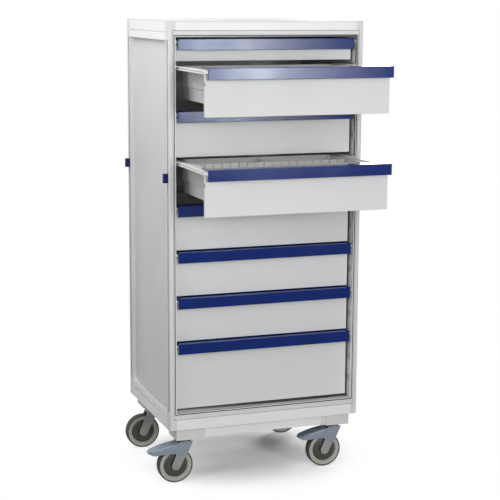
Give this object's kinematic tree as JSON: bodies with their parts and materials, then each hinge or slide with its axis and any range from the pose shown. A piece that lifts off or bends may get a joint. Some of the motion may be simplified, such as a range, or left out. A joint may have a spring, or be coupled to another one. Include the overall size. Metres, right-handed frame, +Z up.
{
  "type": "tray storage trolley",
  "caption": "Tall drawer trolley with pull-out trays on full-width blue grip strips, slotted corner posts and braked swivel casters.",
  "frame": {"origin": "on the floor, under the middle of the carcass's footprint", "axes": "+X to the right as seen from the front, +Y to the back (the drawers open towards -Y), +Z up"},
  "size_m": [0.784, 0.85, 1.6],
  "materials": {
    "profile": "powder-coated light grey extrusion, satin",
    "panel": "powder-coated light grey sheet, satin",
    "drawer_front": "powder-coated light grey sheet, satin",
    "drawer_rail": "coated near-white extrusion, satin",
    "track": "plain drawn aluminium",
    "grip": "dark blue coated strip, semi-gloss",
    "tray": "light grey moulded plastic",
    "divider": "grey sheet plastic",
    "clip": "dark blue moulded plastic",
    "corner_block": "light grey moulded plastic",
    "fork_steel": "zinc-plated pressed steel",
    "wheel_core": "grey moulded plastic",
    "tyre": "dark grey rubber tread",
    "pedal": "blue-grey moulded plastic, semi-gloss"
  },
  "bodies": {
    "carcass": {"accessory_clips": "clip", "back_panel": "panel", "caster_blocks": "corner_block", "corner_connectors": "profile", "corner_posts": "profile", "floor_panel": "panel", "frame_rails": "drawer_rail", "front_bezel": "profile", "plinth_rails": "drawer_rail", "runner_tracks": "track", "side_panels": "panel", "top_cover": "panel"},
    "drawer_1": {"drawer_1_front": "drawer_front", "drawer_1_grip": "grip", "drawer_1_rails": "drawer_rail", "drawer_1_tray": "tray"},
    "drawer_2": {"drawer_2_divider": "divider", "drawer_2_front": "drawer_front", "drawer_2_grip": "grip", "drawer_2_rails": "drawer_rail", "drawer_2_tray": "tray"},
    "drawer_3": {"drawer_3_front": "drawer_front", "drawer_3_grip": "grip", "drawer_3_rails": "drawer_rail", "drawer_3_tray": "tray"},
    "drawer_4": {"drawer_4_dividers": "divider", "drawer_4_front": "drawer_front", "drawer_4_grip": "grip", "drawer_4_rails": "drawer_rail", "drawer_4_tray": "tray"},
    "drawer_5": {"drawer_5_front": "drawer_front", "drawer_5_grip": "grip", "drawer_5_rails": "drawer_rail", "drawer_5_tray": "tray"},
    "drawer_6": {"drawer_6_front": "drawer_front", "drawer_6_grip": "grip", "drawer_6_rails": "drawer_rail", "drawer_6_tray": "tray"},
    "drawer_7": {"drawer_7_front": "drawer_front", "drawer_7_grip": "grip", "drawer_7_rails": "drawer_rail", "drawer_7_tray": "tray"},
    "drawer_8": {"drawer_8_front": "drawer_front", "drawer_8_grip": "grip", "drawer_8_rails": "drawer_rail", "drawer_8_tray": "tray"},
    "caster_front_left_swivel": {"caster_front_left_fork": "fork_steel"},
    "caster_front_left_wheel": {"caster_front_left_core": "wheel_core", "caster_front_left_tyre": "tyre"},
    "caster_front_right_swivel": {"caster_front_right_fork": "fork_steel"},
    "caster_front_right_wheel": {"caster_front_right_core": "wheel_core", "caster_front_right_tyre": "tyre"},
    "caster_rear_left_swivel": {"caster_rear_left_fork": "fork_steel"},
    "caster_rear_left_wheel": {"caster_rear_left_core": "wheel_core", "caster_rear_left_tyre": "tyre"},
    "caster_rear_right_swivel": {"caster_rear_right_fork": "fork_steel"},
    "caster_rear_right_wheel": {"caster_rear_right_core": "wheel_core", "caster_rear_right_tyre": "tyre"},
    "brake_pedal_left": {"brake_pedal_left": "pedal"},
    "brake_pedal_right": {"brake_pedal_right": "pedal"}
  },
  "joints": [
    {"name": "drawer_1_slide", "type": "slide", "parent": "carcass", "child": "drawer_1", "axis": [0, -1, 0], "range_m": [0, 0.32]},
    {"name": "drawer_2_slide", "type": "slide", "parent": "carcass", "child": "drawer_2", "axis": [0, -1, 0], "range_m": [-0.32, 0]},
    {"name": "drawer_3_slide", "type": "slide", "parent": "carcass", "child": "drawer_3", "axis": [0, -1, 0], "range_m": [0, 0.32]},
    {"name": "drawer_4_slide", "type": "slide", "parent": "carcass", "child": "drawer_4", "axis": [0, -1, 0], "range_m": [-0.32, 0]},
    {"name": "drawer_5_slide", "type": "slide", "parent": "carcass", "child": "drawer_5", "axis": [0, -1, 0], "range_m": [0, 0.32]},
    {"name": "drawer_6_slide", "type": "slide", "parent": "carcass", "child": "drawer_6", "axis": [0, -1, 0], "range_m": [0, 0.32]},
    {"name": "drawer_7_slide", "type": "slide", "parent": "carcass", "child": "drawer_7", "axis": [0, -1, 0], "range_m": [0, 0.32]},
    {"name": "drawer_8_slide", "type": "slide", "parent": "carcass", "child": "drawer_8", "axis": [0, -1, 0], "range_m": [0, 0.32]},
    {"name": "caster_front_left_swivel_turn", "type": "hinge", "parent": "carcass", "child": "caster_front_left_swivel", "pos_m": [-0.281, -0.211, 0.15], "axis": [0, 0, 1], "continuous": true},
    {"name": "caster_front_left_wheel_roll", "type": "hinge", "parent": "caster_front_left_swivel", "child": "caster_front_left_wheel", "pos_m": [-0.319, -0.211, 0.0625], "axis": [0, 1, 0], "continuous": true},
    {"name": "caster_front_right_swivel_turn", "type": "hinge", "parent": "carcass", "child": "caster_front_right_swivel", "pos_m": [0.281, -0.211, 0.15], "axis": [0, 0, 1], "continuous": true},
    {"name": "caster_front_right_wheel_roll", "type": "hinge", "parent": "caster_front_right_swivel", "child": "caster_front_right_wheel", "pos_m": [0.243, -0.211, 0.0625], "axis": [0, 1, 0], "continuous": true},
    {"name": "caster_rear_left_swivel_turn", "type": "hinge", "parent": "carcass", "child": "caster_rear_left_swivel", "pos_m": [-0.281, 0.211, 0.15], "axis": [0, 0, 1], "continuous": true},
    {"name": "caster_rear_left_wheel_roll", "type": "hinge", "parent": "caster_rear_left_swivel", "child": "caster_rear_left_wheel", "pos_m": [-0.319, 0.211, 0.0625], "axis": [0, 1, 0], "continuous": true},
    {"name": "caster_rear_right_swivel_turn", "type": "hinge", "parent": "carcass", "child": "caster_rear_right_swivel", "pos_m": [0.281, 0.211, 0.15], "axis": [0, 0, 1], "continuous": true},
    {"name": "caster_rear_right_wheel_roll", "type": "hinge", "parent": "caster_rear_right_swivel", "child": "caster_rear_right_wheel", "pos_m": [0.243, 0.211, 0.0625], "axis": [0, 1, 0], "continuous": true},
    {"name": "brake_pedal_left_press", "type": "hinge", "parent": "caster_front_left_swivel", "child": "brake_pedal_left", "pos_m": [-0.299, -0.211, 0.1245], "axis": [0, -1, 0], "range_deg": [0, 8]},
    {"name": "brake_pedal_right_press", "type": "hinge", "parent": "caster_front_right_swivel", "child": "brake_pedal_right", "pos_m": [0.263, -0.211, 0.1245], "axis": [0, -1, 0], "range_deg": [0, 8]}
  ]
}
